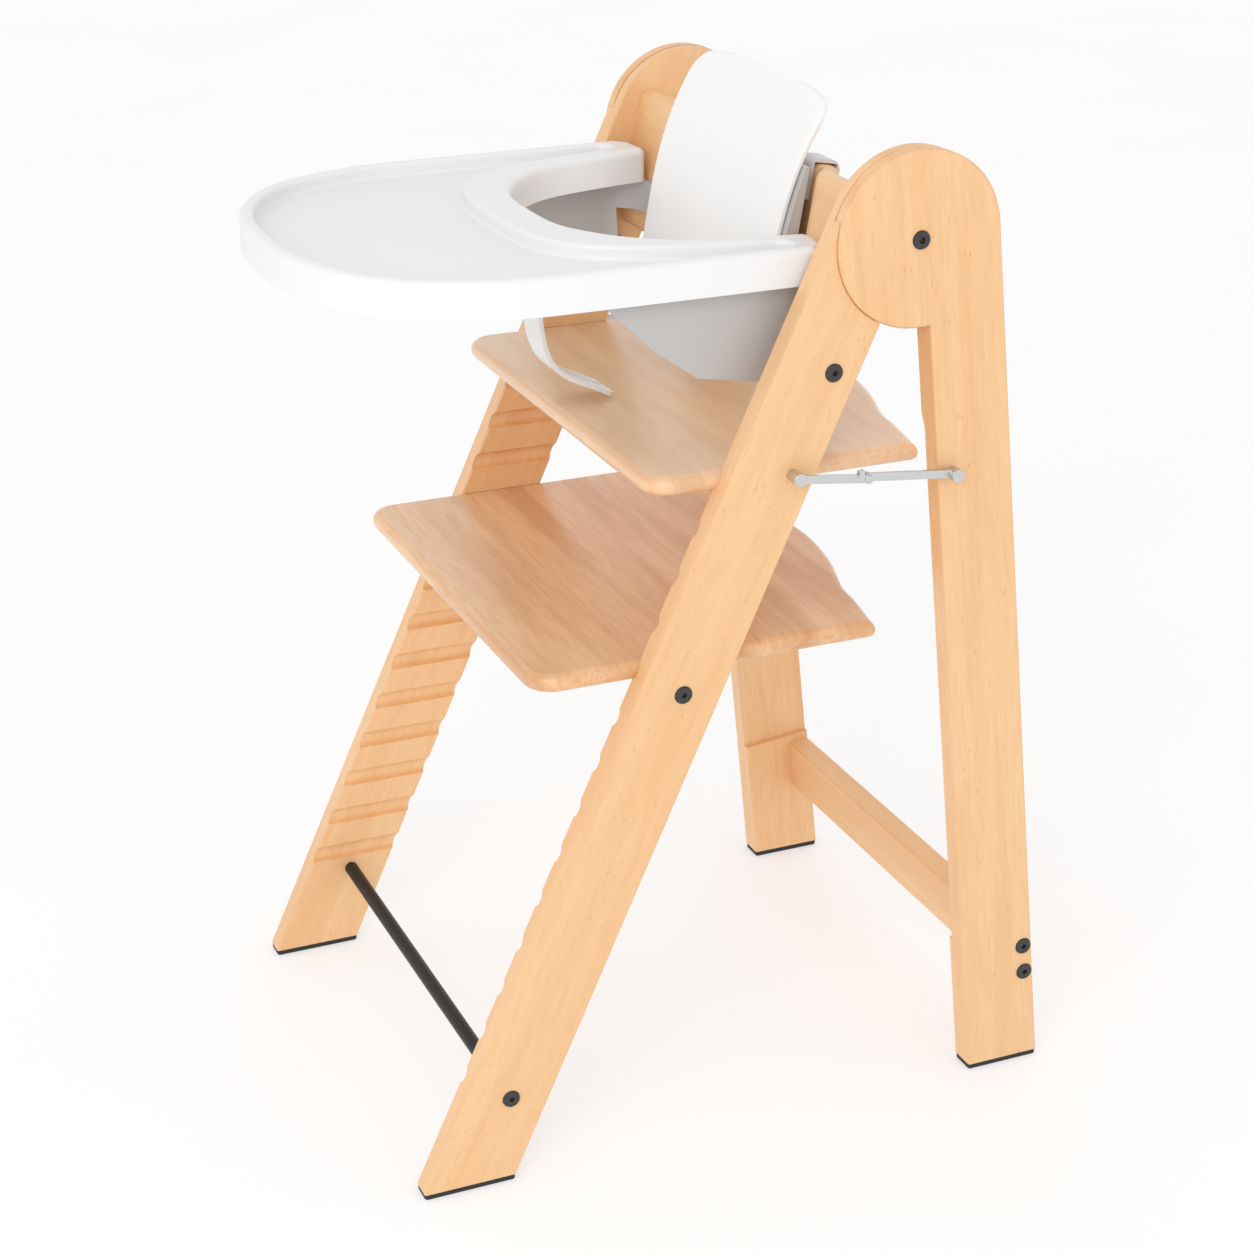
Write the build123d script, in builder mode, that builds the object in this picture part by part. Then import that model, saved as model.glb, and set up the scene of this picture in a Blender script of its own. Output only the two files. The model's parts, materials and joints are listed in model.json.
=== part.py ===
from build123d import *
import os
from math import cos, radians, sin, tan

os.makedirs("parts", exist_ok=True)

# Folding wooden baby high chair, in millimetres. +Z is up and the front is -Y. The origin is
# on the floor under the middle of the whole chair. Heights are counted from the floor, and
# depths from the fold's pivot axis: helper functions turn them into the model's own frame.

# ---- Driving dimensions -------------------------------------------------------------------
PIVOT_Y = 145.8              # fold axis behind the origin
PIVOT_Z = 732.9              # fold axis above the floor

FOOT_T = 5.2                 # rubber foot's thickness
FRONT_INNER = 196.0          # front leg's inner face, from the middle plane
FRONT_OUTER = 216.0
FRONT_SLANT = 24.5           # front leg's front edge, degrees from upright
FRONT_REAR_SLANT = 24.2      # its rear edge
FRONT_REAR_OFFSET = 1.3      # rear edge in front of the pivot
FRONT_HEAD_R = 66.8
REAR_INNER = 196.5
REAR_OUTER = 219.6
REAR_SLANT = -6.35           # rear leg's rear edge
REAR_FRONT_SLANT = -6.14     # its front edge
REAR_FRONT_OFFSET = -4.1     # front edge behind the pivot
REAR_HEAD_R = 67.2
LAP_R = 67.6                 # round seat of the half-lapped heads
LAP_FRONT = 206.5            # front head's outer face inside the lap
LAP_REAR = 208.0             # rear head's inner face inside the lap
EDGE_R = 1.6                 # eased edges of the wood

RELIEF_DEPTH = 5.0           # rear leg's inner face is cut back so that it passes the boards
RELIEF_TOP, RELIEF_RAMP, RELIEF_END = 140.0, 154.0, 615.6

BOARD_T = 15.0
BOARD_HALF = 200.5
BOARD_FRONT_R, BOARD_REAR_R, BOARD_NOSE_R = 24.0, 16.0, 7.2
SEAT_Z, FOOTREST_Z = 560.0, 417.2
SEAT_FRONT, FOOTREST_FRONT = -208.0, -302.0
SEAT_REAR, FOOTREST_REAR = 0.0, -30.6
GROOVE_R = 7.8
GROOVE_PITCH = 35.7
GROOVE_COUNT = 14

ROD_R = 6.0
UPPER_ROD = (-66.6, 638.6)
UPPER_ROD_R = 5.0
LOWER_ROD = (-186.1, 399.0)
FRONT_ROD = (-331.4, 76.5)
BOLT_R = 3.0
BOLT_HEAD_R, BOLT_HEAD_T, BOLT_SINK = 7.0, 3.0, 1.4
BOLT_SEAT_R = 7.25           # counterbore in the wood
BOLT_SOCKET_R, PIVOT_SOCKET_R = 2.4, 2.8
PIVOT_BOLT_R = 5.0
RUN = 0.05                   # running clearance on a radius

BOARD_LEAN = 9.85            # back board and what hangs on it lean back
BACK_FOOT_Z, BACK_TOP_Z = 655.0, 769.0
BACK_FACE_Y = -61.4          # back board's front face at its foot
BACK_T = 18.0
BACK_BULGE = 14.0            # middle of the back board stands further back

BACKREST_HALF = 115.0
BACKREST_T = 5.0
SHELL_T = 3.0
SHELL_HALF = 178.0           # side walls at the rail's height
SHELL_RAIL_Z = 699.5
SHELL_BLOCK_HALF = 121.0

TRAY_BOTTOM, TRAY_FLOOR, TRAY_TOP = 700.0, 716.5, 728.0
TRAY_SKIN = 2.8
STRAP_HALF = 18.0
STRAP_PIN = (-231.0, 706.0)
STRAP_PIN_R = 2.0

STAY_FRONT, STAY_MIDDLE, STAY_REAR = (-99.1, 563.8), (-41.1, 556.4), (35.1, 548.4)
STAY_HALF_H = 3.2
STAY_PIN_R = 2.5
STAY_INNER = (223.0, 226.0)  # rear link's layer
STAY_OUTER = (226.5, 229.5)  # front link's layer
STAY_CAP_OUT = 231.5
CROSSBAR_BOLTS = [(128.5, 111.2), (131.1, 86.1)]


# ---- Helpers ------------------------------------------------------------------------------
def side(y, z):
    """Side-view point for a sketch on Plane.YZ: depth from the pivot, height from the floor."""
    return (PIVOT_Y + y, z)


def plan(x, y):
    """Top-view point for a sketch on Plane.XY: depth from the pivot."""
    return (x, PIVOT_Y + y)


def leg_point(slant, offset, length):
    """Side-view point: offset in front of the pivot, length down along a leg's edge."""
    a = radians(slant)
    return (PIVOT_Y - offset * cos(a) - length * sin(a), PIVOT_Z + offset * sin(a) - length * cos(a))


def leg_foot(slant, offset, height):
    """Where a leg's edge reaches a height above the floor."""
    a = radians(slant)
    return leg_point(slant, offset, (PIVOT_Z + offset * sin(a) - height) / cos(a))


def bolt(head_r, head_t, shank_r, shank_length, socket_r):
    """A bolt along +X: seat of the head at x = 0, shank towards -X, hexagon socket."""
    with BuildPart() as made:
        with BuildSketch(Plane.YZ):
            Circle(head_r)
        extrude(amount=head_t)
        fillet(made.faces().sort_by(Axis.X)[-1].edges(), head_t * 0.35)
        with BuildSketch(Plane.YZ):
            Circle(shank_r)
        extrude(amount=-shank_length)
        with BuildSketch(Plane.YZ.offset(head_t)):
            RegularPolygon(radius=socket_r, side_count=6)
        extrude(amount=-head_t * 0.75, mode=Mode.SUBTRACT)
    return made.part


def both_sides(x, points):
    """Locations for parts along +X at (y, z) points on the right, turned round on the left."""
    right = [Location((x, PIVOT_Y + y, z)) for y, z in points]
    left = [Location((-x, PIVOT_Y + y, z), (0, 0, 180)) for y, z in points]
    return right + left


pieces = {}
PIVOT = (PIVOT_Y, PIVOT_Z)
FRAME_BOLTS = [UPPER_ROD, LOWER_ROD, FRONT_ROD]

# ---- Front legs: slanting boards with a round half-lapped head and coves for the boards ---
lean = radians(BOARD_LEAN)
BACK_SCREWS = [(-38.5, 738.0), (-44.5, 703.0)]
BACK_SCREW_R, BACK_SCREW_LENGTH, BACK_HEAD_R, BACK_HEAD_T = 2.0, 34.0, 4.0, 3.0
BACK_SCREW_X = LAP_FRONT - 3.4   # seat of the screw's head, sunk into the lap's floor
groove_heights = [SEAT_Z - GROOVE_PITCH * n for n in range(GROOVE_COUNT)]

with BuildPart() as front_leg_right:
    with BuildSketch(Plane.YZ.offset(FRONT_INNER)):
        with BuildLine():
            Polyline(
                leg_point(FRONT_SLANT, FRONT_HEAD_R, 0),
                leg_foot(FRONT_SLANT, FRONT_HEAD_R, FOOT_T),
                leg_foot(FRONT_REAR_SLANT, FRONT_REAR_OFFSET, FOOT_T),
                leg_point(FRONT_REAR_SLANT, FRONT_REAR_OFFSET, 0),
                close=True,
            )
        make_face()
        with Locations(PIVOT):
            Circle(FRONT_HEAD_R)
    extrude(amount=FRONT_OUTER - FRONT_INNER)
    rims = front_leg_right.edges().filter_by_position(Axis.Z, FOOT_T + 1, PIVOT_Z * 2)
    fillet(rims.group_by(Axis.X)[0] + rims.group_by(Axis.X)[-1], EDGE_R)
    with BuildSketch(Plane.YZ.offset(LAP_FRONT)):
        with Locations(PIVOT):
            Circle(LAP_R)
    extrude(amount=FRONT_OUTER, mode=Mode.SUBTRACT)
    with BuildSketch(Plane.XZ):
        with Locations(*[(BOARD_HALF - BOARD_T / 2, z) for z in groove_heights]):
            Circle(GROOVE_R)
    extrude(amount=FRONT_OUTER * 3, both=True, mode=Mode.SUBTRACT)
    with BuildSketch(Plane.YZ.offset(FRONT_INNER - 1)):
        with Locations(*[side(*p) for p in FRAME_BOLTS]):
            Circle(BOLT_R + RUN)
        with Locations(PIVOT):
            Circle(PIVOT_BOLT_R + RUN / 2)
        with Locations(*[side(*p) for p in BACK_SCREWS]):
            Circle(BACK_SCREW_R + RUN)
    extrude(amount=FRONT_OUTER, mode=Mode.SUBTRACT)
    with BuildSketch(Plane.YZ.offset(FRONT_OUTER - BOLT_SINK)):
        with Locations(*[side(*p) for p in FRAME_BOLTS]):
            Circle(BOLT_SEAT_R)
    extrude(amount=BOLT_SINK, mode=Mode.SUBTRACT)
    with BuildSketch(Plane.YZ.offset(BACK_SCREW_X)):
        with Locations(*[side(*p) for p in BACK_SCREWS]):
            Circle(BACK_HEAD_R + 0.2)
    extrude(amount=BACK_HEAD_T + 1, mode=Mode.SUBTRACT)
    with BuildSketch(Plane.YZ.offset(FRONT_OUTER - 10)):
        with Locations(side(*STAY_FRONT)):
            Circle(STAY_PIN_R + RUN)
    extrude(amount=10, mode=Mode.SUBTRACT)
pieces["front_leg_right"] = front_leg_right

with BuildPart() as front_leg_left:
    mirror(front_leg_right.part, about=Plane.YZ)
pieces["front_leg_left"] = front_leg_left

# ---- Rear legs: near-upright boards whose round head laps over the front leg's ------------
leg_axis = Plane(
    origin=(0, PIVOT_Y, PIVOT_Z),
    x_dir=(1, 0, 0),
    z_dir=(0, cos(radians(REAR_SLANT)), -sin(radians(REAR_SLANT))),
)
with BuildPart() as rear_leg_right:
    with BuildSketch(Plane.YZ.offset(REAR_INNER)):
        with BuildLine():
            Polyline(
                leg_point(REAR_SLANT, -REAR_HEAD_R, 0),
                leg_foot(REAR_SLANT, -REAR_HEAD_R, FOOT_T),
                leg_foot(REAR_FRONT_SLANT, REAR_FRONT_OFFSET, FOOT_T),
                leg_point(REAR_FRONT_SLANT, REAR_FRONT_OFFSET, 0),
                close=True,
            )
        make_face()
        with Locations(PIVOT):
            Circle(REAR_HEAD_R)
    extrude(amount=REAR_OUTER - REAR_INNER)
    rims = rear_leg_right.edges().filter_by_position(Axis.Z, FOOT_T + 1, PIVOT_Z * 2)
    fillet(rims.group_by(Axis.X)[0] + rims.group_by(Axis.X)[-1], EDGE_R)
    with BuildSketch(Plane.YZ.offset(REAR_INNER - 1)):
        with Locations(PIVOT):
            Circle(LAP_R)
    extrude(amount=LAP_REAR - REAR_INNER + 1, mode=Mode.SUBTRACT)
    with BuildSketch(leg_axis):
        with BuildLine():
            Polyline(
                (REAR_INNER - 2, RELIEF_TOP),
                (REAR_INNER, RELIEF_TOP),
                (REAR_INNER + RELIEF_DEPTH, RELIEF_RAMP),
                (REAR_INNER + RELIEF_DEPTH, RELIEF_END),
                (REAR_INNER - 2, RELIEF_END),
                close=True,
            )
        relief = make_face()
        ramp = relief.vertices().filter_by_position(Axis.Y, RELIEF_TOP - 1, RELIEF_RAMP + 1)
        fillet(ramp.sort_by(Axis.X)[-1], 16)
    extrude(amount=REAR_HEAD_R * 2, both=True, mode=Mode.SUBTRACT)
    with BuildSketch(Plane.YZ.offset(REAR_INNER - 1)):
        with Locations(*[side(*p) for p in CROSSBAR_BOLTS]):
            Circle(BOLT_R + RUN)
        with Locations(PIVOT):
            Circle(PIVOT_BOLT_R + RUN)
    extrude(amount=REAR_OUTER, mode=Mode.SUBTRACT)
    with BuildSketch(Plane.YZ.offset(REAR_OUTER - BOLT_SINK)):
        with Locations(*[side(*p) for p in CROSSBAR_BOLTS], PIVOT):
            Circle(BOLT_SEAT_R)
    extrude(amount=BOLT_SINK, mode=Mode.SUBTRACT)
    with BuildSketch(Plane.YZ.offset(REAR_OUTER - 12)):
        with Locations(side(*STAY_REAR)):
            Circle(STAY_PIN_R + RUN)
    extrude(amount=12, mode=Mode.SUBTRACT)
pieces["rear_leg_right"] = rear_leg_right

with BuildPart() as rear_leg_left:
    mirror(rear_leg_right.part, about=Plane.YZ)
pieces["rear_leg_left"] = rear_leg_left

# ---- Rubber feet: a chamfered pad under each leg ------------------------------------------
FOOT_CHAMFER = 1.2
FOOT_INSET, FOOT_R = 0.6, 2.5
front_leg_ends = (
    leg_foot(FRONT_SLANT, FRONT_HEAD_R, FOOT_T)[0],
    leg_foot(FRONT_REAR_SLANT, FRONT_REAR_OFFSET, FOOT_T)[0],
)
rear_leg_ends = (
    leg_foot(REAR_FRONT_SLANT, REAR_FRONT_OFFSET, FOOT_T)[0],
    leg_foot(REAR_SLANT, -REAR_HEAD_R, FOOT_T)[0],
)
pads = {
    "front_feet": (front_leg_ends, FRONT_INNER, FRONT_OUTER),
    "rear_feet": (rear_leg_ends, REAR_INNER, REAR_OUTER),
}
for name, ((y_front, y_rear), inner, outer) in pads.items():
    foot_y = (y_front + y_rear) / 2
    with BuildPart() as feet:
        with BuildSketch(Plane.XY):
            with Locations(((inner + outer) / 2, foot_y), (-(inner + outer) / 2, foot_y)):
                RectangleRounded(outer - inner - FOOT_INSET, y_rear - y_front - FOOT_INSET, FOOT_R)
        extrude(amount=FOOT_T)
        chamfer(feet.faces().filter_by_position(Axis.Z, -0.1, 0.1).edges(), FOOT_CHAMFER)
    pieces[name] = feet


# ---- Seat and foot boards: bull-nosed boards that slide into the coves --------------------
def board(height, front, rear_shift):
    """A board with rounded front corners and a rear edge that swells in the middle."""
    with BuildPart() as made:
        with BuildSketch(Plane.XY.offset(height - BOARD_T / 2)) as outline:
            with BuildLine():
                rear = Spline(
                    plan(0, 55 + rear_shift),
                    plan(42, 51 + rear_shift),
                    plan(78, 43 + rear_shift),
                    plan(106, 33.8 + rear_shift),
                    plan(127, 28 + rear_shift),
                    plan(150, 25.4 + rear_shift),
                    tangents=[(1, 0), (1, -0.12)],
                )
                Polyline(
                    rear @ 1,
                    plan(BOARD_HALF, 16 + rear_shift),
                    plan(BOARD_HALF, front),
                    plan(0, front),
                )
                mirror(about=Plane.YZ)
            make_face()
            corners = outline.vertices().filter_by_position(Axis.X, BOARD_HALF - 1, BOARD_HALF + 1)
            corners += outline.vertices().filter_by_position(Axis.X, -BOARD_HALF - 1, -BOARD_HALF + 1)
            fillet(corners.group_by(Axis.Y)[0], BOARD_FRONT_R)
            fillet(corners.group_by(Axis.Y)[-1], BOARD_REAR_R)
        extrude(amount=BOARD_T)
        levels = made.faces().sort_by(Axis.Z)
        fillet(levels[-1].edges() + levels[0].edges(), BOARD_NOSE_R)
    return made


pieces["seat_board"] = board(SEAT_Z, SEAT_FRONT, SEAT_REAR)
pieces["foot_board"] = board(FOOTREST_Z, FOOTREST_FRONT, FOOTREST_REAR)

# ---- Tie rods between the front legs, tapped at both ends ---------------------------------
TAP_DEPTH, FRAME_BOLT_GRIP = 24.0, 20.0
rods = {
    "upper_tie_rod": (UPPER_ROD, UPPER_ROD_R),
    "lower_tie_rod": (LOWER_ROD, ROD_R),
    "front_rod": (FRONT_ROD, ROD_R),
}
for name, (place, radius) in rods.items():
    with BuildPart() as rod:
        with BuildSketch(Plane.YZ):
            with Locations(side(*place)):
                Circle(radius)
        extrude(amount=FRONT_INNER, both=True)
        for end in (Plane.YZ.offset(FRONT_INNER), Plane.YZ.offset(-FRONT_INNER + TAP_DEPTH)):
            with BuildSketch(end):
                with Locations(side(*place)):
                    Circle(BOLT_R + RUN)
            extrude(amount=-TAP_DEPTH, mode=Mode.SUBTRACT)
    pieces[name] = rod

with BuildPart() as frame_bolts:
    shank = FRONT_OUTER - FRONT_INNER - BOLT_SINK + FRAME_BOLT_GRIP
    with Locations(*both_sides(FRONT_OUTER - BOLT_SINK, FRAME_BOLTS)):
        add(bolt(BOLT_HEAD_R, BOLT_HEAD_T, BOLT_R, shank, BOLT_SOCKET_R))
pieces["frame_bolts"] = frame_bolts

# ---- Rear crossbar with its bolts and barrel nuts -----------------------------------------
CROSSBAR_T, CROSSBAR_H, CROSSBAR_MID = 21.0, 47.0, 96.5
crossbar_y = leg_foot(REAR_SLANT, -REAR_HEAD_R, CROSSBAR_MID)[0] - CROSSBAR_T / 2
BARREL_R, BARREL_DEPTH, BARREL_IN = 4.5, 15.0, 16.0
BAR_HOLE = BARREL_IN + 8.0
bar_section = Plane(
    origin=(0, crossbar_y, CROSSBAR_MID),
    x_dir=(0, cos(radians(REAR_SLANT)), -sin(radians(REAR_SLANT))),
    z_dir=(1, 0, 0),
)
bar_normal = bar_section.x_dir
bar_rear = Plane(
    origin=bar_section.origin + bar_normal * (CROSSBAR_T / 2), x_dir=(1, 0, 0), z_dir=bar_normal
)
barrel_places = [
    (sx * (REAR_INNER - BARREL_IN), CROSSBAR_MID - z) for sx in (-1, 1) for _, z in CROSSBAR_BOLTS
]
with BuildPart() as rear_crossbar:
    with BuildSketch(bar_section):
        RectangleRounded(CROSSBAR_T, CROSSBAR_H, 2.0)
    extrude(amount=REAR_INNER, both=True)
    with BuildSketch(Plane.YZ.offset(-REAR_INNER)):
        with Locations(*[side(*p) for p in CROSSBAR_BOLTS]):
            Circle(BOLT_R + RUN)
    extrude(amount=BAR_HOLE, mode=Mode.SUBTRACT)
    with BuildSketch(Plane.YZ.offset(REAR_INNER)):
        with Locations(*[side(*p) for p in CROSSBAR_BOLTS]):
            Circle(BOLT_R + RUN)
    extrude(amount=-BAR_HOLE, mode=Mode.SUBTRACT)
    with BuildSketch(bar_rear):
        with Locations(*barrel_places):
            Circle(BARREL_R + RUN)
    extrude(amount=-BARREL_DEPTH - 1, mode=Mode.SUBTRACT)
pieces["rear_crossbar"] = rear_crossbar

with BuildPart() as barrel_nuts:
    with BuildSketch(bar_rear.offset(-1)):
        with Locations(*barrel_places):
            Circle(BARREL_R)
    extrude(amount=-BARREL_DEPTH + 1)
    with BuildSketch(Plane.YZ):
        with Locations(*[side(*p) for p in CROSSBAR_BOLTS]):
            Circle(BOLT_R + RUN)
    extrude(amount=REAR_OUTER, both=True, mode=Mode.SUBTRACT)
pieces["barrel_nuts"] = barrel_nuts

with BuildPart() as crossbar_bolts:
    shank = REAR_OUTER - REAR_INNER - BOLT_SINK + BAR_HOLE - 2
    with Locations(*both_sides(REAR_OUTER - BOLT_SINK, CROSSBAR_BOLTS)):
        add(bolt(BOLT_HEAD_R, BOLT_HEAD_T, BOLT_R, shank, BOLT_SOCKET_R))
pieces["crossbar_bolts"] = crossbar_bolts

# ---- Fold pivot: bolt, nylon washer between the heads, flanged nut inside -----------------
HEAD_GAP = 0.05
PIVOT_NUT_T, PIVOT_NUT_R, WASHER_R = 2.0, 9.5, 16.0
with BuildPart() as pivot_bolts:
    head_seat = REAR_OUTER - BOLT_SINK + HEAD_GAP
    with Locations(*both_sides(head_seat, [(0, PIVOT_Z)])):
        add(bolt(BOLT_HEAD_R, BOLT_HEAD_T, PIVOT_BOLT_R, head_seat - FRONT_INNER, PIVOT_SOCKET_R))
pieces["pivot_bolts"] = pivot_bolts

with BuildPart() as pivot_washers:
    for inner_face in (LAP_FRONT, -LAP_REAR + HEAD_GAP):
        with BuildSketch(Plane.YZ.offset(inner_face)):
            with Locations(PIVOT):
                Circle(WASHER_R)
                Circle(PIVOT_BOLT_R + RUN, mode=Mode.SUBTRACT)
        extrude(amount=LAP_REAR - LAP_FRONT - HEAD_GAP)
pieces["pivot_washers"] = pivot_washers

with BuildPart() as pivot_nuts:
    for inner_face in (FRONT_INNER - PIVOT_NUT_T, -FRONT_INNER):
        with BuildSketch(Plane.YZ.offset(inner_face)):
            with Locations(PIVOT):
                Circle(PIVOT_NUT_R)
        extrude(amount=PIVOT_NUT_T)
pieces["pivot_nuts"] = pivot_nuts

# ---- Back board: bent board between the front legs, its middle set further back -----------
back_plane = Plane(
    origin=(0, PIVOT_Y + BACK_FACE_Y, BACK_FOOT_Z),
    x_dir=(1, 0, 0),
    z_dir=(0, sin(lean), cos(lean)),
)
BACK_H = (BACK_TOP_Z - BACK_FOOT_Z) / cos(lean)
BEND_INNER, BEND_OUTER = 103.0, 138.0
BACK_SCREW_DEPTH = 28.0
with BuildPart() as back_board:
    with BuildSketch(back_plane):
        with BuildLine():
            faces = []
            for depth in (0, BACK_T):
                Line((FRONT_INNER, depth), (BEND_OUTER, depth))
                bend = Spline(
                    (BEND_OUTER, depth), (BEND_INNER, depth + BACK_BULGE), tangents=[(-1, 0), (-1, 0)]
                )
                Line(bend @ 1, (0, depth + BACK_BULGE))
            Line((FRONT_INNER, 0), (FRONT_INNER, BACK_T))
            mirror(about=Plane.YZ)
        make_face()
    extrude(amount=BACK_H)
    for end_face, radius in ((-1, 6.5), (0, 5.0)):
        rim = back_board.faces().sort_by(Axis.Z)[end_face].edges()
        fillet(rim.filter_by(lambda e: abs((e @ 0).X - (e @ 1).X) > 5), radius)
    with BuildSketch(Plane.YZ.offset(FRONT_INNER)):
        with Locations(*[side(*p) for p in BACK_SCREWS]):
            Circle(BACK_SCREW_R + RUN)
    extrude(amount=-BACK_SCREW_DEPTH, mode=Mode.SUBTRACT)
    with BuildSketch(Plane.YZ.offset(-FRONT_INNER)):
        with Locations(*[side(*p) for p in BACK_SCREWS]):
            Circle(BACK_SCREW_R + RUN)
    extrude(amount=BACK_SCREW_DEPTH, mode=Mode.SUBTRACT)
pieces["back_board"] = back_board

with BuildPart() as back_board_screws:
    with Locations(*both_sides(BACK_SCREW_X, BACK_SCREWS)):
        add(bolt(BACK_HEAD_R, BACK_HEAD_T, BACK_SCREW_R, BACK_SCREW_LENGTH, 1.6))
pieces["back_board_screws"] = back_board_screws

# ---- White backrest: a thin shell whose top curls backward --------------------------------
BACKREST_FRONT = [
    (-85, 600),
    (-80, 640),
    (-73.6, 682),
    (-62.4, 735),
    (-50.5, 769),
    (-33.5, 801),
    (-20, 819),
]
BACKREST_FOOT_Z, BACKREST_CORNER_Z, BACKREST_TOP_Z = 602.0, 814.0, 822.0
BACKREST_CORNER_R, BACKREST_EDGE_R = 20.0, 1.8
SCREWS = [(38.0, 14.0), (78.0, 12.4)]   # height up the back board, length under the head
SCREW_X = 60.0
SCREW_R, SCREW_HEAD_R, SCREW_HEAD_T = 2.0, 4.0, 2.4
BLOCK_GAP = 0.5              # between the shell's block and the back board's ends
screw_plane = Plane(
    origin=(0, PIVOT_Y + BACK_FACE_Y, BACK_FOOT_Z), x_dir=(1, 0, 0), z_dir=(0, cos(lean), -sin(lean))
)
screw_face = screw_plane.offset(-BLOCK_GAP)


def screw_set(slack):
    """Shanks and heads of the backrest's screws, with some slack on the radius."""
    with BuildPart() as made:
        for up, length in SCREWS:
            places = [(-SCREW_X, -up), (SCREW_X, -up)]
            with BuildSketch(screw_face):
                with Locations(*places):
                    Circle(SCREW_R + slack)
            extrude(amount=-length)
            with BuildSketch(screw_face):
                with Locations(*places):
                    Circle(SCREW_HEAD_R + slack)
            extrude(amount=-SCREW_HEAD_T)
    return made.part


with BuildPart() as backrest_shell:
    with BuildSketch(Plane.YZ):
        with BuildLine():
            Spline(*[side(y + BACKREST_T / 2, z) for y, z in BACKREST_FRONT])
        trace(line_width=BACKREST_T)
    extrude(amount=BACKREST_HALF, both=True)
    with BuildSketch(Plane.XZ) as outline:
        with BuildLine():
            crown = ThreePointArc(
                (BACKREST_HALF, BACKREST_CORNER_Z), (0, BACKREST_TOP_Z), (-BACKREST_HALF, BACKREST_CORNER_Z)
            )
            Polyline(
                crown @ 1, (-BACKREST_HALF, BACKREST_FOOT_Z), (BACKREST_HALF, BACKREST_FOOT_Z), crown @ 0
            )
        make_face()
        fillet(outline.vertices(), BACKREST_CORNER_R)
    extrude(amount=PIVOT_Y * 3, both=True, mode=Mode.INTERSECT)
    fillet(backrest_shell.faces().sort_by(Axis.Y)[0].edges(), BACKREST_EDGE_R)
    add(screw_set(RUN), mode=Mode.SUBTRACT)
pieces["backrest_shell"] = backrest_shell

# ---- Grey seat shell: U-shaped side and rear wall, with a block behind the backrest -------
SHELL_FRONT_Y = -240.0
SHELL_LEVELS = [600.0, 780.0]
WALL_SPREAD = 0.06           # side walls stand apart by this much more per mm of height
SHELL_CORNER_R = 28.0
RAIL_INNER, RAIL_T = 167.0, 3.0
RAIL_Y = (-229.0, -100.0)


def board_face(z, gap):
    """Depth of the back board's front face, less a gap, at a height."""
    return BACK_FACE_Y + (z - BACK_FOOT_Z) * tan(lean) - gap


with BuildPart() as side_shell:
    for level in SHELL_LEVELS:
        half = SHELL_HALF - SHELL_T / 2 + (level - SHELL_RAIL_Z) * WALL_SPREAD
        rear_y = board_face(level, SHELL_T / 2 + 0.4)
        with BuildSketch(Plane.XY.offset(level)):
            with BuildLine():
                FilletPolyline(
                    plan(half, SHELL_FRONT_Y - 20),
                    plan(half, rear_y),
                    plan(-half, rear_y),
                    plan(-half, SHELL_FRONT_Y - 20),
                    radius=SHELL_CORNER_R,
                )
            trace(line_width=SHELL_T)
    loft()
    with BuildSketch(Plane.YZ):
        with BuildLine():
            Polyline(
                side(-236, SHELL_RAIL_Z),
                side(-193, 658.5),
                side(-158, 633.5),
                side(-112, 625),
                side(-77, 625),
                side(-77, 674),
                side(-45, 674),
                side(-45, SHELL_RAIL_Z),
                close=True,
            )
        wall = make_face()
        for bend, radius in (((-193, 658.5), 40), ((-158, 633.5), 40), ((-112, 625), 40)):
            fillet(wall.vertices().sort_by_distance(side(*bend))[0], radius)
        fillet(wall.vertices().sort_by_distance(side(-77, 674))[0], 12)
        fillet(wall.vertices().sort_by_distance(side(-77, 625))[0], 5)
    extrude(amount=FRONT_INNER, both=True, mode=Mode.INTERSECT)
    with BuildSketch(Plane.YZ):
        with BuildLine():
            face = Spline(*[side(y + BACKREST_T + 0.5, z) for y, z in BACKREST_FRONT[2:5]])
            block_foot, block_top = BACKREST_FRONT[2][1], BACKREST_FRONT[4][1]
            Polyline(
                face @ 1,
                side(board_face(block_top, BLOCK_GAP), block_top),
                side(board_face(block_foot, BLOCK_GAP), block_foot),
                face @ 0,
            )
        make_face()
    extrude(amount=SHELL_BLOCK_HALF, both=True)
    with BuildSketch(Plane.XY.offset(SHELL_RAIL_Z - RAIL_T)):
        with Locations(*[plan(s * (RAIL_INNER + SHELL_HALF - 1) / 2, sum(RAIL_Y) / 2) for s in (-1, 1)]):
            RectangleRounded(SHELL_HALF - 1 - RAIL_INNER, RAIL_Y[1] - RAIL_Y[0], 3)
    extrude(amount=RAIL_T)
    add(screw_set(RUN), mode=Mode.SUBTRACT)
pieces["side_shell"] = side_shell

with BuildPart() as backrest_screws:
    add(screw_set(0))
pieces["backrest_screws"] = backrest_screws

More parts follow.
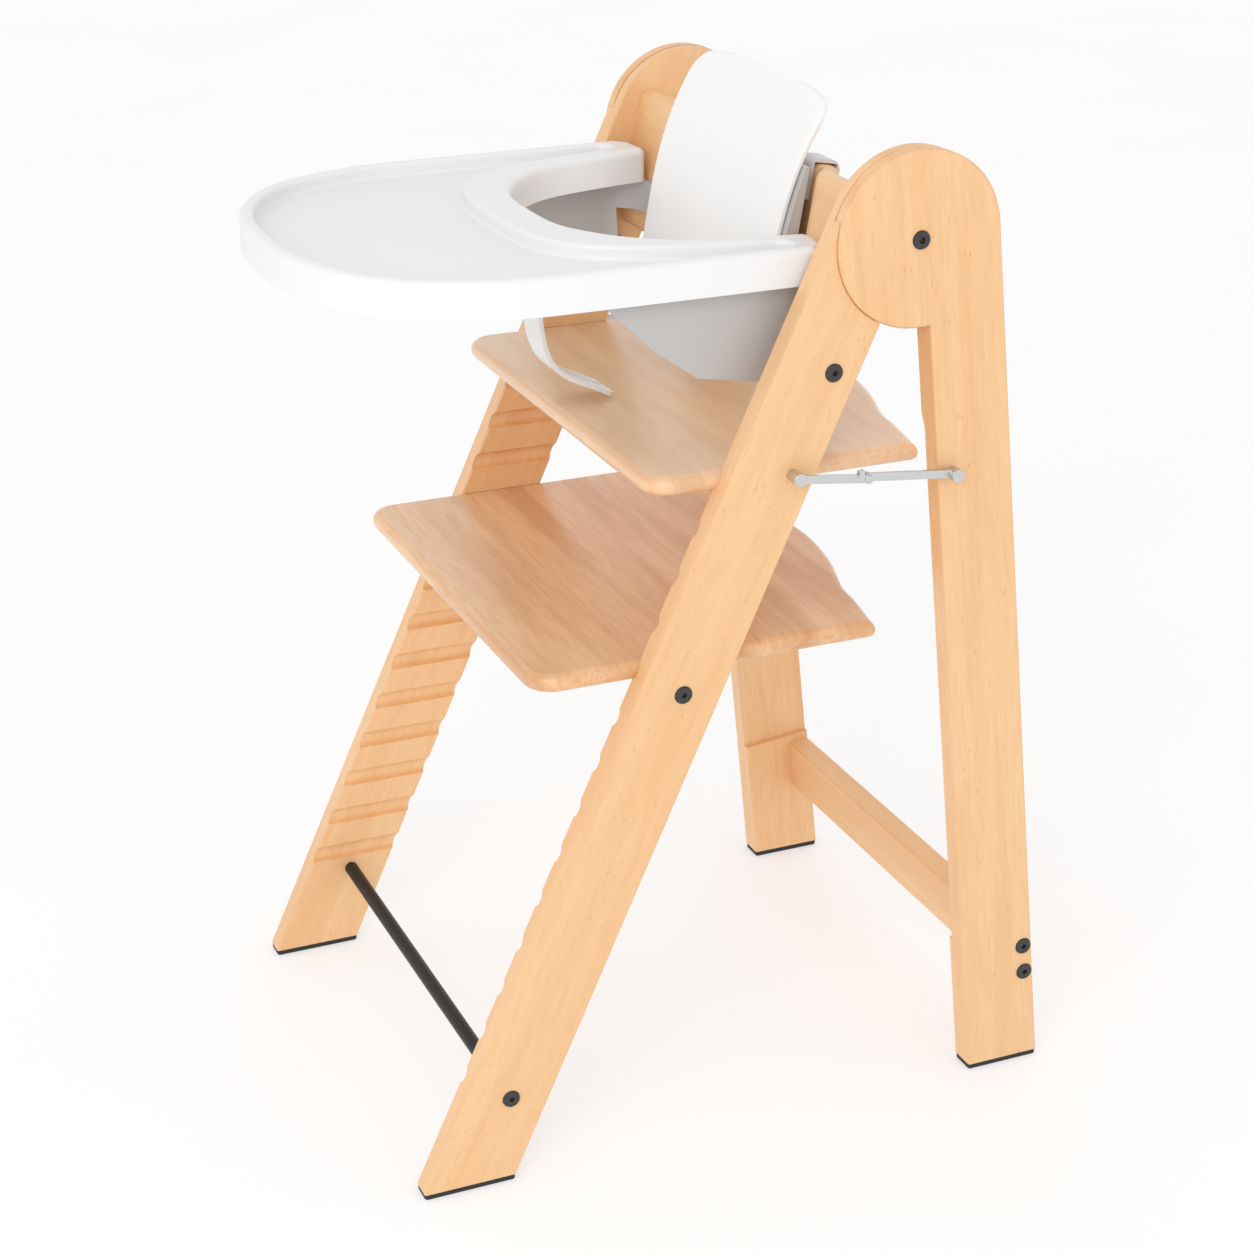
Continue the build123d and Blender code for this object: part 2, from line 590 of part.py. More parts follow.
# ---- Hooks that hang the shell over the back board's top edge -----------------------------
HOOK_X, HOOK_W, HOOK_T = 77.0, 25.0, 2.8
HOOK_FRONT = BACK_BULGE - 0.6
HOOK_REAR = BACK_BULGE + BACK_T + 0.9
HOOK_SEAT = BLOCK_GAP * cos(lean)
with BuildPart() as hook_clips:
    for x in (HOOK_X, -HOOK_X - HOOK_W):
        hook_plane = Plane(
            origin=(x, PIVOT_Y + BACK_FACE_Y, BACK_FOOT_Z), x_dir=(0, cos(lean), -sin(lean)), z_dir=(1, 0, 0)
        )
        with BuildSketch(hook_plane) as band:
            with BuildLine():
                Polyline(
                    (-HOOK_SEAT, BACK_H - 28),
                    (-HOOK_SEAT, BACK_H - 14),
                    (HOOK_FRONT - HOOK_T, BACK_H - 14),
                    (HOOK_FRONT - HOOK_T, BACK_H + 1 + HOOK_T),
                    (HOOK_REAR + HOOK_T, BACK_H + 1 + HOOK_T),
                    (HOOK_REAR + HOOK_T, BACK_H - 18),
                    (HOOK_REAR, BACK_H - 18),
                    (HOOK_REAR, BACK_H + 1),
                    (HOOK_FRONT, BACK_H + 1),
                    (HOOK_FRONT, BACK_H - 28),
                    close=True,
                )
            make_face()
            top = band.vertices().group_by(Axis.Y)
            fillet(top[-1], 8)
            fillet(top[-2], 4.5)
        extrude(amount=HOOK_W)
pieces["hook_clips"] = hook_clips

# ---- Tray: a wide board with a raised rim, a bib cut-out and two arms ---------------------
LUG_T = 5.0
CUTOUT_FRONT, TRAY_FRONT, TRAY_HALF = -221.0, -440.0, 192.0
TRAY_END = -58.0
RIM_W, CHANNEL_END, CHANNEL_R = 11.5, -92.0, 9.5
NOSE = [
    (0, TRAY_FRONT),
    (60, -435.5),
    (108, -420),
    (146, -393.5),
    (171, -359),
    (185, -320),
    (TRAY_HALF, -250),
]
RIM = [
    (0, TRAY_FRONT + RIM_W),
    (56, -424.5),
    (101, -410),
    (137, -385),
    (160.5, -353),
    (173.5, -317),
    (TRAY_HALF - RIM_W, -250),
]
CUTOUT = [(149, TRAY_END), (138, -118), (118, -170), (75, -207.5), (0, CUTOUT_FRONT)]
CUTOUT_TANGENTS = [(-0.12, -1), (-1, 0)]


def inset(curve, amount, start=0.0):
    """Points along a curve, moved to its left by some amount."""
    steps = [start + (1 - start) * i / 8 for i in range(9)]
    return [curve @ t + (curve % t).rotate(Axis.Z, 90) * amount for t in steps]


with BuildPart() as tray:
    with BuildSketch(Plane.XY.offset(TRAY_BOTTOM)) as tray_outline:
        with BuildLine():
            nose = Spline(*[plan(*p) for p in NOSE], tangents=[(1, 0), (0, 1)])
            Polyline(nose @ 1, plan(TRAY_HALF, -72), plan(180, TRAY_END - 3), plan(*CUTOUT[0]))
            cutout = Spline(*[plan(*p) for p in CUTOUT], tangents=CUTOUT_TANGENTS)
            mirror(about=Plane.YZ)
        make_face()
        arm_ends = tray_outline.vertices().filter_by_position(Axis.Y, PIVOT_Y - 95, PIVOT_Y)
        fillet(arm_ends.group_by(Axis.Y)[-1], 7)
        fillet(arm_ends.group_by(Axis.Y)[0] + arm_ends.group_by(Axis.Y)[1], 9)
    extrude(amount=TRAY_TOP - TRAY_BOTTOM)
    with BuildSketch(Plane.XY.offset(TRAY_BOTTOM)):
        with BuildLine():
            skirt = Spline(*inset(nose, TRAY_SKIN), tangents=[(1, 0), (0, 1)])
            lip = Spline(*inset(cutout, TRAY_SKIN, 0.04), tangents=CUTOUT_TANGENTS)
            Polyline(skirt @ 1, plan(TRAY_HALF - TRAY_SKIN, -74), plan(178.5, TRAY_END - 6.5), lip @ 0)
            mirror(about=Plane.YZ)
        make_face()
    extrude(amount=TRAY_FLOOR - TRAY_SKIN - TRAY_BOTTOM, mode=Mode.SUBTRACT)
    fillet(tray.faces().sort_by(Axis.Z)[-1].edges(), 5.5)
    with BuildSketch(Plane.XY.offset(TRAY_FLOOR)):
        with BuildLine():
            rim = Spline(*[plan(*p) for p in RIM], tangents=[(1, 0), (0, 1)])
            channel = Line(rim @ 1, plan(TRAY_HALF - RIM_W, CHANNEL_END))
            channel_inner = TRAY_HALF - RIM_W - 2 * CHANNEL_R
            RadiusArc(channel @ 1, plan(channel_inner, CHANNEL_END), -CHANNEL_R - 0.01)
            Spline(
                plan(channel_inner, CHANNEL_END),
                plan(153, -135),
                plan(136, -193),
                plan(98, -241),
                plan(48, -254.5),
                plan(0, -256.5),
                tangents=[(-0.15, -1), (-1, 0)],
            )
            mirror(about=Plane.YZ)
        make_face()
    extrude(amount=TRAY_TOP, mode=Mode.SUBTRACT)
    fillet(tray.edges().filter_by_position(Axis.Z, TRAY_FLOOR - 0.1, TRAY_FLOOR + 0.1), 3)
    rim_top = tray.faces().filter_by(Axis.Z).sort_by(Axis.Z)[-1]
    fillet(rim_top.inner_wires()[0].edges(), 3)
    with BuildSketch(Plane.YZ.offset(STRAP_HALF + 0.5)):
        with BuildLine():
            Polyline(
                side(STRAP_PIN[0] - 5, TRAY_FLOOR - TRAY_SKIN),
                side(STRAP_PIN[0] - 5, STRAP_PIN[1]),
                side(STRAP_PIN[0], STRAP_PIN[1] - 5),
                side(STRAP_PIN[0] + 5, STRAP_PIN[1]),
                side(STRAP_PIN[0] + 5, TRAY_FLOOR - TRAY_SKIN),
                close=True,
            )
        make_face()
        with Locations(side(*STRAP_PIN)):
            Circle(STRAP_PIN_R, mode=Mode.SUBTRACT)
    lug = extrude(amount=LUG_T)
    mirror(lug, about=Plane.YZ)
pieces["tray"] = tray

# ---- Catches under the tray's arms, which grip the shell's rails --------------------------
CATCH_Y = (-205.0, -165.0)
CATCH_T, CATCH_GAP = 2.4, 0.5
catch_x = RAIL_INNER - CATCH_GAP - CATCH_T
with BuildPart() as tray_catches:
    with BuildSketch(Plane.XZ.offset(-PIVOT_Y - CATCH_Y[0])):
        with BuildLine():
            Polyline(
                (catch_x, TRAY_FLOOR - TRAY_SKIN),
                (catch_x, SHELL_RAIL_Z - RAIL_T - CATCH_GAP - CATCH_T),
                (RAIL_INNER + 4, SHELL_RAIL_Z - RAIL_T - CATCH_GAP - CATCH_T),
                (RAIL_INNER + 4, SHELL_RAIL_Z - RAIL_T - CATCH_GAP),
                (RAIL_INNER - CATCH_GAP, SHELL_RAIL_Z - RAIL_T - CATCH_GAP),
                (RAIL_INNER - CATCH_GAP, TRAY_FLOOR - TRAY_SKIN),
                close=True,
            )
        make_face()
    hook = extrude(amount=CATCH_Y[0] - CATCH_Y[1])
    mirror(hook, about=Plane.YZ)
pieces["tray_catches"] = tray_catches

# ---- Crotch strap: an S-shaped strip that swings on a pin under the tray ------------------
STRAP_T = 3.6
STRAP_LINE = [
    (-230.2, 703.4),
    (-225.5, 680),
    (-221.5, 650),
    (-217.5, 622),
    (-208.5, 602),
    (-195, 591),
    (-180, 584),
    (-166, 577),
    (-156.5, 571.5),
]
KNUCKLE_R, STRAP_TIP_R = 4.4, 14.0
with BuildPart() as crotch_strap:
    with BuildSketch(Plane.YZ):
        with BuildLine():
            Spline(*[side(*p) for p in STRAP_LINE])
        trace(line_width=STRAP_T)
        with Locations(side(*STRAP_PIN)):
            Circle(KNUCKLE_R)
    extrude(amount=STRAP_HALF, both=True)
    with BuildSketch(Plane.YZ):
        with BuildLine():
            Spline(*[side(y + 0.9, z + 0.9) for y, z in STRAP_LINE[1:-1]])
        trace(line_width=STRAP_T + 0.6)
    extrude(amount=3.5, both=True)
    with BuildSketch(Plane.YZ):
        with Locations(side(*STRAP_PIN)):
            Circle(STRAP_PIN_R + RUN)
    extrude(amount=STRAP_HALF, both=True, mode=Mode.SUBTRACT)
    tip_y = PIVOT_Y + STRAP_LINE[-1][0] - 2.5
    tip = crotch_strap.edges().filter_by_position(Axis.Y, tip_y, PIVOT_Y)
    fillet(tip.filter_by(lambda e: e.length < 4), STRAP_TIP_R)
pieces["crotch_strap"] = crotch_strap

with BuildPart() as strap_pin:
    with BuildSketch(Plane.YZ):
        with Locations(side(*STRAP_PIN)):
            Circle(STRAP_PIN_R)
    extrude(amount=STRAP_HALF + 0.5 + LUG_T, both=True)
pieces["strap_pin"] = strap_pin

# ---- Folding stays: two links a side, on pins in the legs ---------------------------------
STAY_EYE_R, STAY_CAP_R, SHOULDER_R = 4.2, 5.2, 4.6
RIVET_R, RIVET_HEAD_R, RIVET_HEAD_T = 2.0, 3.3, 1.2
DISC_OUT, BLIND_OUT = 231.2, 229.6
PIN_DEPTH = 9.5
LINK_PLAY = 0.1


def middle(start, end):
    """Point half way between two side-view points."""
    return ((start[0] + end[0]) / 2, (start[1] + end[1]) / 2)


with BuildPart() as front_link:
    with BuildSketch(Plane.YZ.offset(STAY_OUTER[0])):
        SlotCenterPoint(side(*middle(STAY_FRONT, STAY_MIDDLE)), side(*STAY_MIDDLE), 2 * STAY_HALF_H)
        with Locations(side(*STAY_MIDDLE)):
            Circle(STAY_EYE_R)
    extrude(amount=STAY_OUTER[1] - STAY_OUTER[0])
    with BuildSketch(Plane.YZ.offset(STAY_OUTER[0])):
        with Locations(side(*STAY_FRONT)):
            Circle(STAY_CAP_R)
    extrude(amount=DISC_OUT - STAY_OUTER[0])
    fillet(front_link.faces().sort_by(Axis.X)[-1].edges(), 0.5)
    with BuildSketch(Plane.YZ.offset(STAY_OUTER[0])):
        with BuildLine():
            Polyline(
                side(STAY_MIDDLE[0] - 9, STAY_MIDDLE[1] + 2),
                side(STAY_MIDDLE[0] - 9, STAY_MIDDLE[1] + 7.2),
                side(STAY_MIDDLE[0] - 4.4, STAY_MIDDLE[1] + 7.8),
                side(STAY_MIDDLE[0] - 4.4, STAY_MIDDLE[1] + 2),
                close=True,
            )
        make_face()
    extrude(amount=STAY_OUTER[1] - STAY_OUTER[0] + 1.2)
    with BuildSketch(Plane.YZ.offset(STAY_OUTER[0])):
        with Locations(side(*STAY_FRONT)):
            Circle(STAY_PIN_R + RUN)
    extrude(amount=BLIND_OUT - STAY_OUTER[0], mode=Mode.SUBTRACT)
    with BuildSketch(Plane.YZ.offset(STAY_OUTER[0])):
        with Locations(side(*STAY_MIDDLE)):
            Circle(RIVET_R)
    extrude(amount=20, mode=Mode.SUBTRACT)

with BuildPart() as rear_link:
    with BuildSketch(Plane.YZ.offset(STAY_INNER[0])):
        SlotCenterPoint(side(*middle(STAY_REAR, STAY_MIDDLE)), side(*STAY_MIDDLE), 2 * STAY_HALF_H)
        with Locations(side(*STAY_MIDDLE), side(*STAY_REAR)):
            Circle(STAY_EYE_R)
        with Locations(side(*STAY_MIDDLE)):
            Circle(RIVET_R, mode=Mode.SUBTRACT)
        with Locations(side(*STAY_REAR)):
            Circle(STAY_PIN_R + RUN, mode=Mode.SUBTRACT)
    extrude(amount=STAY_INNER[1] - STAY_INNER[0])

with BuildPart() as front_rivet:
    with BuildSketch(Plane.YZ.offset(STAY_OUTER[0])):
        with Locations(side(*STAY_MIDDLE)):
            Circle(RIVET_R)
    extrude(amount=STAY_OUTER[1] - STAY_OUTER[0])
    with BuildSketch(Plane.YZ.offset(STAY_OUTER[1])):
        with Locations(side(*STAY_MIDDLE)):
            Circle(RIVET_HEAD_R)
    extrude(amount=RIVET_HEAD_T)
    fillet(front_rivet.faces().sort_by(Axis.X)[-1].edges(), 0.8)

with BuildPart() as rear_rivet:
    with BuildSketch(Plane.YZ.offset(STAY_INNER[0])):
        with Locations(side(*STAY_MIDDLE)):
            Circle(RIVET_R)
    extrude(amount=STAY_INNER[1] - STAY_INNER[0])
    with BuildSketch(Plane.YZ.offset(STAY_INNER[0])):
        with Locations(side(*STAY_MIDDLE)):
            Circle(RIVET_HEAD_R)
    extrude(amount=-RIVET_HEAD_T)
    fillet(rear_rivet.faces().sort_by(Axis.X)[0].edges(), 0.8)

with BuildPart() as front_pin:
    with BuildSketch(Plane.YZ.offset(FRONT_OUTER)):
        with Locations(side(*STAY_FRONT)):
            Circle(SHOULDER_R)
    extrude(amount=STAY_OUTER[0] - LINK_PLAY - FRONT_OUTER)
    with BuildSketch(Plane.YZ.offset(FRONT_OUTER - PIN_DEPTH)):
        with Locations(side(*STAY_FRONT)):
            Circle(STAY_PIN_R)
    extrude(amount=BLIND_OUT - LINK_PLAY - FRONT_OUTER + PIN_DEPTH)

with BuildPart() as rear_pin:
    with BuildSketch(Plane.YZ.offset(REAR_OUTER)):
        with Locations(side(*STAY_REAR)):
            Circle(SHOULDER_R)
    extrude(amount=STAY_INNER[0] - LINK_PLAY - REAR_OUTER)
    with BuildSketch(Plane.YZ.offset(REAR_OUTER - PIN_DEPTH)):
        with Locations(side(*STAY_REAR)):
            Circle(STAY_PIN_R)
    extrude(amount=STAY_INNER[1] + LINK_PLAY - REAR_OUTER + PIN_DEPTH)
    with BuildSketch(Plane.YZ.offset(STAY_INNER[1] + LINK_PLAY)):
        with Locations(side(*STAY_REAR)):
            Circle(STAY_CAP_R)
    extrude(amount=STAY_CAP_OUT - STAY_INNER[1] - LINK_PLAY)
    fillet(rear_pin.faces().sort_by(Axis.X)[-1].edges(), 0.5)

stay_pieces = {
    "stay_front_link": front_link,
    "stay_rear_link": rear_link,
    "stay_front_rivet": front_rivet,
    "stay_rear_rivet": rear_rivet,
}
for name, piece in stay_pieces.items():
    pieces[name + "_right"] = piece
    with BuildPart() as mirrored:
        mirror(piece.part, about=Plane.YZ)
    pieces[name + "_left"] = mirrored
for name, pin in {"stay_front_pins": front_pin, "stay_rear_pins": rear_pin}.items():
    with BuildPart() as pair:
        add(pin.part)
        mirror(pin.part, about=Plane.YZ)
    pieces[name] = pair

# ---- One STEP file for each piece ----------------------------------------------------------
for name, piece in pieces.items():
    piece.part.label = name
    export_step(piece.part, f"parts/{name}.step")
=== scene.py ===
"""Looks of a folding beech baby high chair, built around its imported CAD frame.

Metres, +Z up, the chair faces -Y. Wood is described in its own board frame: z' runs along the
grain, y' across the board's face and x' through its thickness.
"""

import json
import math

import bpy
from mathutils import Euler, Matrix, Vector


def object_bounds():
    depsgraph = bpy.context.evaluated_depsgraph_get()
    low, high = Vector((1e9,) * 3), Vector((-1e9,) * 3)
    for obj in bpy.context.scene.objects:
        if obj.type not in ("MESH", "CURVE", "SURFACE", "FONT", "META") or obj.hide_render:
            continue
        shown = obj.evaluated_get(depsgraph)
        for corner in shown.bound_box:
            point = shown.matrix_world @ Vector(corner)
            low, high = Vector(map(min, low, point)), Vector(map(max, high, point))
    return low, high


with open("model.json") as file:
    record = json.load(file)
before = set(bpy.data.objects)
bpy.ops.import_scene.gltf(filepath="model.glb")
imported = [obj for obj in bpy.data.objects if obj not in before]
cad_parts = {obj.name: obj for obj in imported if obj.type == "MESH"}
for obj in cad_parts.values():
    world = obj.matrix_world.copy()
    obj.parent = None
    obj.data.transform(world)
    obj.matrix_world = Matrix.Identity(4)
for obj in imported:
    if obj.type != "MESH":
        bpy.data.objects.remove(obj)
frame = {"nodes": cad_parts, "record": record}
cad_low, cad_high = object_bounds()
nodes = frame["nodes"]

# ---- Driving values -----------------------------------------------------------------------
FRONT_SLANT = math.radians(24.5)  # grain of the front legs, from upright
REAR_SLANT = math.radians(-6.35)
GRAIN_FRONT_LEG = (FRONT_SLANT, 0, 0)
GRAIN_REAR_LEG = (REAR_SLANT, 0, 0)
GRAIN_SIDEWAYS = (0, -math.pi / 2, 0)  # boards, crossbar and back board: grain along X

BEECH_FRAME = {"light": (0.87, 0.55, 0.29, 1), "streak": (0.82, 0.475, 0.225, 1)}
BEECH_BOARD = {"light": (0.86, 0.55, 0.31, 1), "streak": (0.69, 0.38, 0.18, 1)}
# Lighter copy of the board tones for the seat board: painted fill light, standing in for light
# the seat lacks under the tray and backrest. The wood is the same as the foot board's.
BEECH_SEAT_PAINTED_FILL = {"light": (0.90, 0.63, 0.41, 1), "streak": (0.82, 0.52, 0.30, 1)}
LACQUER = {"Coat_Weight": 0.22, "Coat_Roughness": 0.34}
GLOSSY_LACQUER = {"Coat_Weight": 0.6, "Coat_Roughness": 0.22}
FLECK_TINT = (0.93, 0.72, 0.56, 1)
EDGE_TINT = (0.97, 0.86, 0.74, 1)
FLECKS_ACROSS, FLECKS_ALONG, FLECKS_DEEP = 165, 46, 3  # rays per metre in each direction
STAVE_WIDTH = 0.022  # strips glued up into the seat and foot boards

HORIZON_LIGHT, ZENITH_LIGHT = 0.96, 0.86
KEY_PLACE, KEY_SIZE, KEY_POWER = (2.2, -1.8, 1.9), 1.8, 26
FLOOR_HALF = 30.0
CAMERA_PLACE = (1.8601, -0.7904, 1.2311)
CAMERA_TILT, CAMERA_HEADING = math.radians(66.753), math.radians(66.83)
CAMERA_LENS, CAMERA_SENSOR = 75.44, 36.0  # millimetres


# ---- Node helper --------------------------------------------------------------------------
class Shader:
    """A material with one Principled shader, and short calls for the nodes around it."""

    def __init__(self, name, **sockets):
        self.material = bpy.data.materials.new(name)
        self.material.use_nodes = True
        self.tree = self.material.node_tree
        self.surface = self.tree.nodes["Principled BSDF"]
        for socket, value in sockets.items():
            self.surface.inputs[socket.replace("_", " ")].default_value = value

    def node(self, kind, inputs=None, **settings):
        made = self.tree.nodes.new(kind)
        for key, value in settings.items():
            setattr(made, key, value)
        for key, value in (inputs or {}).items():
            if isinstance(value, bpy.types.NodeSocket):
                self.tree.links.new(value, made.inputs[key])
            else:
                made.inputs[key].default_value = value
        return made

    def set(self, socket, value):
        self.tree.links.new(value, self.surface.inputs[socket])

    def math(self, operation, *values):
        inputs = dict(enumerate(values))
        return self.node("ShaderNodeMath", inputs, operation=operation).outputs[0]

    def turned(self, vector, rotation, scale=(1, 1, 1), shift=(0, 0, 0), kind="POINT"):
        inputs = {"Vector": vector, "Rotation": rotation, "Scale": scale}
        if kind == "POINT":
            inputs["Location"] = shift
        return self.node("ShaderNodeMapping", inputs, vector_type=kind).outputs[0]

    def noise(self, vector, scale, detail=2.0, roughness=0.5, distortion=0.0):
        inputs = {"Vector": vector, "Scale": scale, "Detail": detail}
        inputs.update({"Roughness": roughness, "Distortion": distortion})
        return self.node("ShaderNodeTexNoise", inputs).outputs[0]

    def ramp(self, value, low, high, to_low=0.0, to_high=1.0):
        inputs = {0: value, 1: low, 2: high, 3: to_low, 4: to_high}
        made = self.node("ShaderNodeMapRange", inputs, interpolation_type="SMOOTHSTEP")
        return made.outputs[0]

    def grey(self, value):
        inputs = {axis: value for axis in range(3)}
        return self.node("ShaderNodeCombineXYZ", inputs).outputs[0]

    def mix(self, factor, a, b, blend="MIX"):
        made = self.node("ShaderNodeMix", {0: factor}, data_type="RGBA", blend_type=blend)
        for socket, value in ((made.inputs[6], a), (made.inputs[7], b)):
            if isinstance(value, bpy.types.NodeSocket):
                self.tree.links.new(value, socket)
            else:
                socket.default_value = value
        return made.outputs[2]

    def bump(self, height, distance, strength=1.0, under=None):
        inputs = {"Height": height, "Distance": distance, "Strength": strength}
        if under is not None:
            inputs["Normal"] = under
        return self.node("ShaderNodeBump", inputs).outputs[0]


# ---- Wood ---------------------------------------------------------------------------------
def beech(name, tones, grain, seed, staves=0.0, lacquer=LACQUER):
    """Lacquered beech: streaks along the grain, short rays, deeper tone on worn edges."""
    s = Shader(name, Specular_IOR_Level=0.5, IOR=1.48, **lacquer)
    place = s.node("ShaderNodeTexCoord")
    shift = (seed * 1.37, seed * 0.71, seed * 2.13)
    board = s.turned(place.outputs["Object"], grain, shift=shift)
    normal = s.turned(place.outputs["Normal"], grain, kind="VECTOR")
    part = s.node("ShaderNodeSeparateXYZ", {0: normal})
    facing = [s.math("ABSOLUTE", part.outputs[i]) for i in range(3)]

    slow = s.turned(board, (0, 0, 0), scale=(1, 1, 0.09))
    broad = s.noise(slow, 38, detail=3, distortion=0.6)
    streaks = s.noise(slow, 230, detail=4, roughness=0.65)
    fibres = s.noise(s.turned(board, (0, 0, 0), scale=(1, 1, 0.03)), 1500, detail=2)
    colour = s.mix(s.ramp(broad, 0.35, 0.72), tones["light"], tones["streak"])
    colour = s.mix(s.ramp(streaks, 0.42, 0.75, 0, 0.7), colour, tones["streak"])
    fine = s.ramp(fibres, 0.25, 0.75, 0.955, 1.03)
    colour = s.mix(1.0, colour, s.grey(fine), "MULTIPLY")

    rays = None
    broad_face = ((FLECKS_DEEP, FLECKS_ACROSS, FLECKS_ALONG), facing[0])
    narrow_face = ((FLECKS_ACROSS, FLECKS_DEEP, FLECKS_ALONG), facing[1])
    for layer, (scale, face) in enumerate((broad_face, narrow_face)):
        spots = s.turned(board, (0, 0, 0), scale=scale, shift=(layer * 5.1, layer * 3.3, 0))
        cells = s.node("ShaderNodeTexVoronoi", {"Vector": spots, "Scale": 1.0, "Randomness": 1.0})
        which = s.node("ShaderNodeSeparateColor", {0: cells.outputs["Color"]})
        depth = s.ramp(which.outputs[0], 0.25, 1.0)
        near = s.ramp(cells.outputs["Distance"], 0.06, 0.16, 1.0, 0.0)
        one = s.math("MULTIPLY", s.math("MULTIPLY", near, depth), s.ramp(face, 0.55, 0.9))
        rays = one if rays is None else s.math("ADD", rays, one)
    flecked = s.mix(1.0, colour, FLECK_TINT, "MULTIPLY")
    colour = s.mix(s.math("MULTIPLY", rays, 0.85), colour, flecked)

    if staves:
        strips = s.node("ShaderNodeSeparateXYZ", {0: board})
        row = s.math("SNAP", strips.outputs[1], staves)
        tone = s.node("ShaderNodeTexWhiteNoise", {"W": row}, noise_dimensions="1D").outputs[0]
        edgewise = s.ramp(facing[0], 0.1, 0.9, 0.09, 0.03)
        dark = s.math("SUBTRACT", 1.0, s.math("MULTIPLY", tone, edgewise))
        colour = s.mix(1.0, colour, s.grey(dark), "MULTIPLY")

    biggest = s.math("MAXIMUM", s.math("MAXIMUM", facing[0], facing[1]), facing[2])
    eased = s.ramp(biggest, 0.70, 0.985, 1.0, 0.0)
    ends = s.ramp(facing[2], 0.6, 0.95)
    worn = s.math("MAXIMUM", eased, s.math("MULTIPLY", ends, 0.8))
    mottled = s.math("MULTIPLY", worn, s.ramp(streaks, 0.2, 0.75, 0.55, 1.0))
    colour = s.mix(mottled, colour, s.mix(1.0, colour, EDGE_TINT, "MULTIPLY"))
    s.set("Base Color", colour)
    uneven = s.math("ADD", broad, s.math("MULTIPLY", fibres, 0.4))
    s.set("Roughness", s.ramp(uneven, 0.4, 1.0, 0.36, 0.47))
    height = s.math("SUBTRACT", fibres, s.math("MULTIPLY", rays, 0.5))
    s.set("Normal", s.bump(height, 0.00006, 0.5))
    return s.material


# ---- Plastics, rubber and metals ----------------------------------------------------------
def moulded(name, colour, roughness, grain_scale, grain_depth, **sockets):
    """Moulded plastic: fine moulded grain, a slow drift in tone and slightly polished spots."""
    s = Shader(name, **sockets)
    place = s.node("ShaderNodeTexCoord").outputs["Object"]
    drift = s.noise(place, 9, detail=3)
    grain = s.noise(place, grain_scale, detail=3, roughness=0.6)
    shade = s.ramp(drift, 0.3, 0.7, 0.985, 1.0)
    s.set("Base Color", s.mix(1.0, colour, s.grey(shade), "MULTIPLY"))
    polish = s.math("ADD", s.math("MULTIPLY", grain, 0.5), s.math("MULTIPLY", drift, 0.5))
    s.set("Roughness", s.ramp(polish, 0.3, 0.7, roughness - 0.05, roughness + 0.05))
    s.set("Normal", s.bump(grain, grain_depth, 0.35))
    return s.material


def metal(name, colour, roughness, stretch=(1, 1, 1), **sockets):
    """Metal with fine marks, drawn out along one direction where it is brushed."""
    s = Shader(name, **sockets)
    place = s.turned(s.node("ShaderNodeTexCoord").outputs["Object"], (0, 0, 0), scale=stretch)
    marks = s.noise(place, 2600, detail=3, roughness=0.65)
    cloud = s.noise(place, 60, detail=2)
    both = s.math("ADD", s.math("MULTIPLY", marks, 0.5), s.math("MULTIPLY", cloud, 0.5))
    shade = s.ramp(both, 0.3, 0.7, 0.88, 1.0)
    s.set("Base Color", s.mix(1.0, colour, s.grey(shade), "MULTIPLY"))
    s.set("Roughness", s.ramp(marks, 0.25, 0.75, roughness - 0.06, roughness + 0.08))
    s.set("Normal", s.bump(marks, 0.00002, 0.4))
    return s.material


WHITE_TRAY = moulded("white_tray", (0.83, 0.83, 0.835, 1), 0.36, 1800, 0.00003)
WHITE_BACKREST = moulded("white_backrest", (0.89, 0.888, 0.885, 1), 0.34, 1800, 0.00003)
GREY_SHELL = moulded("grey_shell", (0.50, 0.49, 0.485, 1), 0.42, 1500, 0.00004)
PALE_GREY = moulded("pale_grey_hooks", (0.68, 0.68, 0.69, 1), 0.40, 1500, 0.00004)
FROSTED = moulded(
    "frosted_strap", (0.80, 0.80, 0.81, 1), 0.33, 1200, 0.00003, Subsurface_Weight=0.25
)
RUBBER = moulded("black_rubber", (0.018, 0.018, 0.019, 1), 0.62, 900, 0.0001)
BLACK = metal("black_steel", (0.05, 0.05, 0.052, 1), 0.42, Metallic=0.35)
ROD_BLACK = metal("black_rod", (0.014, 0.0135, 0.013, 1), 0.42, Specular_IOR_Level=0.3)
STEEL = metal("brushed_steel", (0.66, 0.665, 0.67, 1), 0.30, stretch=(1, 0.04, 1), Metallic=1.0)
ZINC = metal("zinc_steel", (0.62, 0.62, 0.60, 1), 0.38, Metallic=1.0)
NYLON = moulded("nylon", (0.76, 0.75, 0.70, 1), 0.45, 1500, 0.00003)

